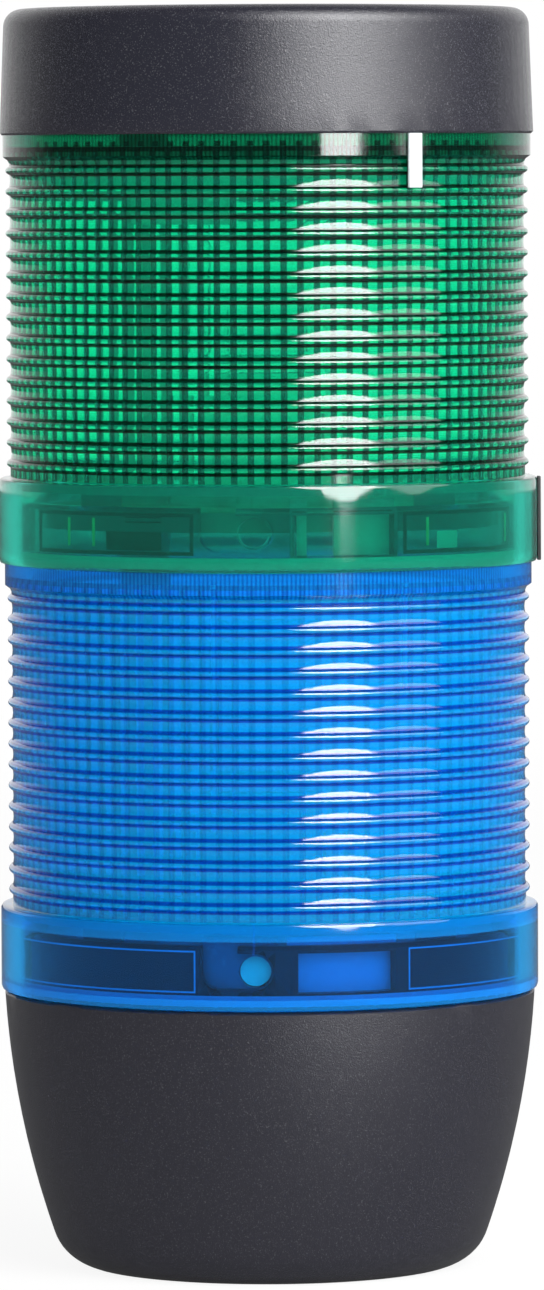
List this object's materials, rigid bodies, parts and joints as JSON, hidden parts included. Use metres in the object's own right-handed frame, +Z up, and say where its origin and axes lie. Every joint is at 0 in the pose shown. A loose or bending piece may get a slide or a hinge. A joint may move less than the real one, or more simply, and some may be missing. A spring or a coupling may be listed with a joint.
{
  "type": "stack light",
  "caption": "Modular signal tower light: ribbed green and blue light modules stacked between a black cap and a tapered black base, joined by twist-lock collars.",
  "frame": {"origin": "centre of the tube socket's mouth, on the underside of the base", "axes": "+Z up along the tower's axis, -Y towards the front"},
  "size_m": [0.0705, 0.07, 0.1633],
  "materials": {
    "black_plastic": "fine satin grain, charcoal black",
    "dark_plastic": "matte black moulding",
    "pale_plastic": "pale grey nylon",
    "green_lens": "clear tinted green, glossy",
    "blue_lens": "clear tinted blue, glossy",
    "seal_rubber": "pale soft seal",
    "brass": "bright contact brass",
    "socket_metal": "nickel plated",
    "steel": "blackened steel",
    "bulb_glass": "clear glass",
    "white_mark": "white",
    "black_mark": "black"
  },
  "bodies": {
    "base": {"base_housing": "black_plastic", "base_seal": "seal_rubber", "clamp_screw": "steel", "terminal_carrier": "dark_plastic", "terminal_block": "pale_plastic", "terminal_screws": "brass", "base_wiring_column": "dark_plastic", "base_contact_strips": "brass"},
    "blue_module": {"blue_lens": "blue_lens", "blue_seal": "seal_rubber", "blue_contact_plate": "dark_plastic", "blue_wiring_column": "dark_plastic", "blue_contact_strips": "brass", "blue_lamp_socket": "socket_metal", "blue_lamp_insulator": "pale_plastic", "blue_bulb_cap": "brass", "blue_bulb_glass": "bulb_glass"},
    "green_module": {"green_lens": "green_lens", "green_seal": "seal_rubber", "green_contact_plate": "dark_plastic", "green_wiring_column": "dark_plastic", "green_contact_strips": "brass", "green_lamp_socket": "socket_metal", "green_lamp_insulator": "pale_plastic", "green_bulb_cap": "brass", "green_bulb_glass": "bulb_glass", "alignment_bar": "white_mark", "index_strip": "black_mark"},
    "cap": {"cap_shell": "black_plastic"}
  },
  "joints": [
    {"name": "blue_twist", "type": "hinge", "parent": "base", "child": "blue_module", "pos_m": [0, 0, 0.041], "axis": [0, 0, 1], "range_deg": [-8, 0]},
    {"name": "green_twist", "type": "hinge", "parent": "blue_module", "child": "green_module", "pos_m": [0, 0, 0.0965], "axis": [0, 0, 1], "range_deg": [-8, 0]},
    {"name": "cap_twist", "type": "hinge", "parent": "green_module", "child": "cap", "pos_m": [0, 0, 0.152], "axis": [0, 0, 1], "range_deg": [-8, 0]}
  ]
}
